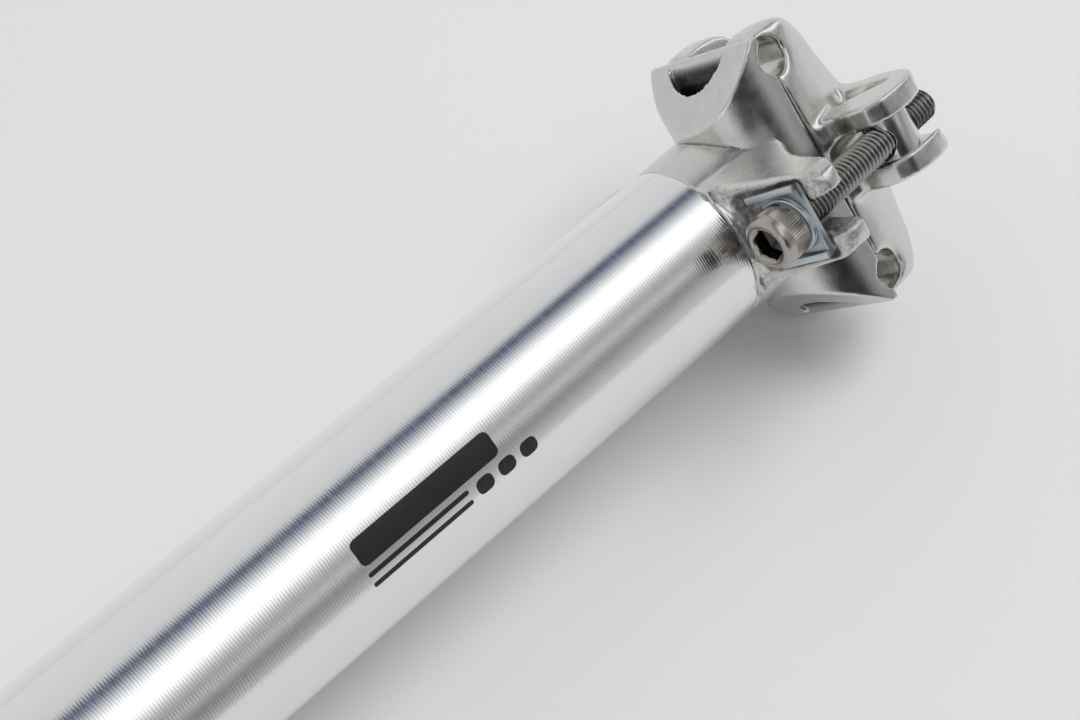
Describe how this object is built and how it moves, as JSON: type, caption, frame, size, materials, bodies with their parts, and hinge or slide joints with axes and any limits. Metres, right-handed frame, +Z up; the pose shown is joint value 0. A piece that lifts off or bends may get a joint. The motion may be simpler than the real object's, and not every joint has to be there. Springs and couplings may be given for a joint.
{
  "type": "seatpost",
  "caption": "Rigid bicycle seatpost: a straight round tube with a forged head, a tilting two-piece saddle rail clamp, and a micro-adjust bolt at front and rear.",
  "frame": {"origin": "centre of the tube's bottom end", "axes": "+Z up the tube, +Y to the front of the bicycle, +X to the rider's right"},
  "size_m": [0.054, 0.0668, 0.3723],
  "materials": {
    "tube": "polished",
    "forging": "satin, tumbled",
    "nut": "polished",
    "zinc": "zinc plated",
    "bolt": "stainless"
  },
  "bodies": {
    "post": {"post_tube": "tube", "forged_head": "forging"},
    "cradle": {"lower_cradle": "forging"},
    "clamp": {"upper_clamp": "forging"},
    "rear_nut": {"rear_barrel_nut": "nut"},
    "front_nut": {"front_barrel_nut": "nut"},
    "rear_washers": {"rear_channel_washer": "zinc", "rear_round_washer": "zinc"},
    "front_washers": {"front_channel_washer": "zinc", "front_round_washer": "zinc"},
    "rear_screw": {"rear_bolt": "bolt"},
    "front_screw": {"front_bolt": "bolt"}
  },
  "joints": [
    {"name": "saddle_tilt", "type": "hinge", "parent": "post", "child": "cradle", "pos_m": [0, -0.002, 0.3513], "axis": [1, 0, 0], "range_deg": [-8, 8]},
    {"name": "clamp_open", "type": "slide", "parent": "cradle", "child": "clamp", "axis": [0, -0.0087, 1], "range_m": [0, 0.002]},
    {"name": "rear_nut_turn", "type": "hinge", "parent": "clamp", "child": "rear_nut", "pos_m": [0, -0.02162, 0.36183], "axis": [1, 0, 0], "range_deg": [-3, 3]},
    {"name": "front_nut_turn", "type": "hinge", "parent": "clamp", "child": "front_nut", "pos_m": [0, 0.01977, 0.35602], "axis": [1, 0, 0], "range_deg": [-5.4, 5.4]},
    {"name": "rear_washer_swing", "type": "hinge", "parent": "post", "child": "rear_washers", "pos_m": [0, -0.0229, 0.34653], "axis": [1, 0, 0], "range_deg": [-5.1, 5.1]},
    {"name": "front_washer_swing", "type": "hinge", "parent": "post", "child": "front_washers", "pos_m": [0, 0.0209, 0.34653], "axis": [1, 0, 0], "range_deg": [-2.7, 2.7]},
    {"name": "rear_bolt_turn", "type": "hinge", "parent": "rear_washers", "child": "rear_screw", "pos_m": [0, -0.0229, 0.34653], "axis": [0, 0.083, 0.9965], "range_deg": [-1027, 1027]},
    {"name": "front_bolt_turn", "type": "hinge", "parent": "front_washers", "child": "front_screw", "pos_m": [0, 0.0209, 0.34653], "axis": [0, -0.1185, 0.993], "range_deg": [-1114, 1114]}
  ],
  "couplings": [
    {"joint": "rear_nut_turn", "follows": "saddle_tilt", "ratio": -0.374},
    {"joint": "front_nut_turn", "follows": "saddle_tilt", "ratio": -0.668},
    {"joint": "rear_washer_swing", "follows": "saddle_tilt", "ratio": 0.626},
    {"joint": "front_washer_swing", "follows": "saddle_tilt", "ratio": 0.332},
    {"joint": "rear_bolt_turn", "follows": "saddle_tilt", "ratio": 128.29},
    {"joint": "front_bolt_turn", "follows": "saddle_tilt", "ratio": -139.15}
  ]
}
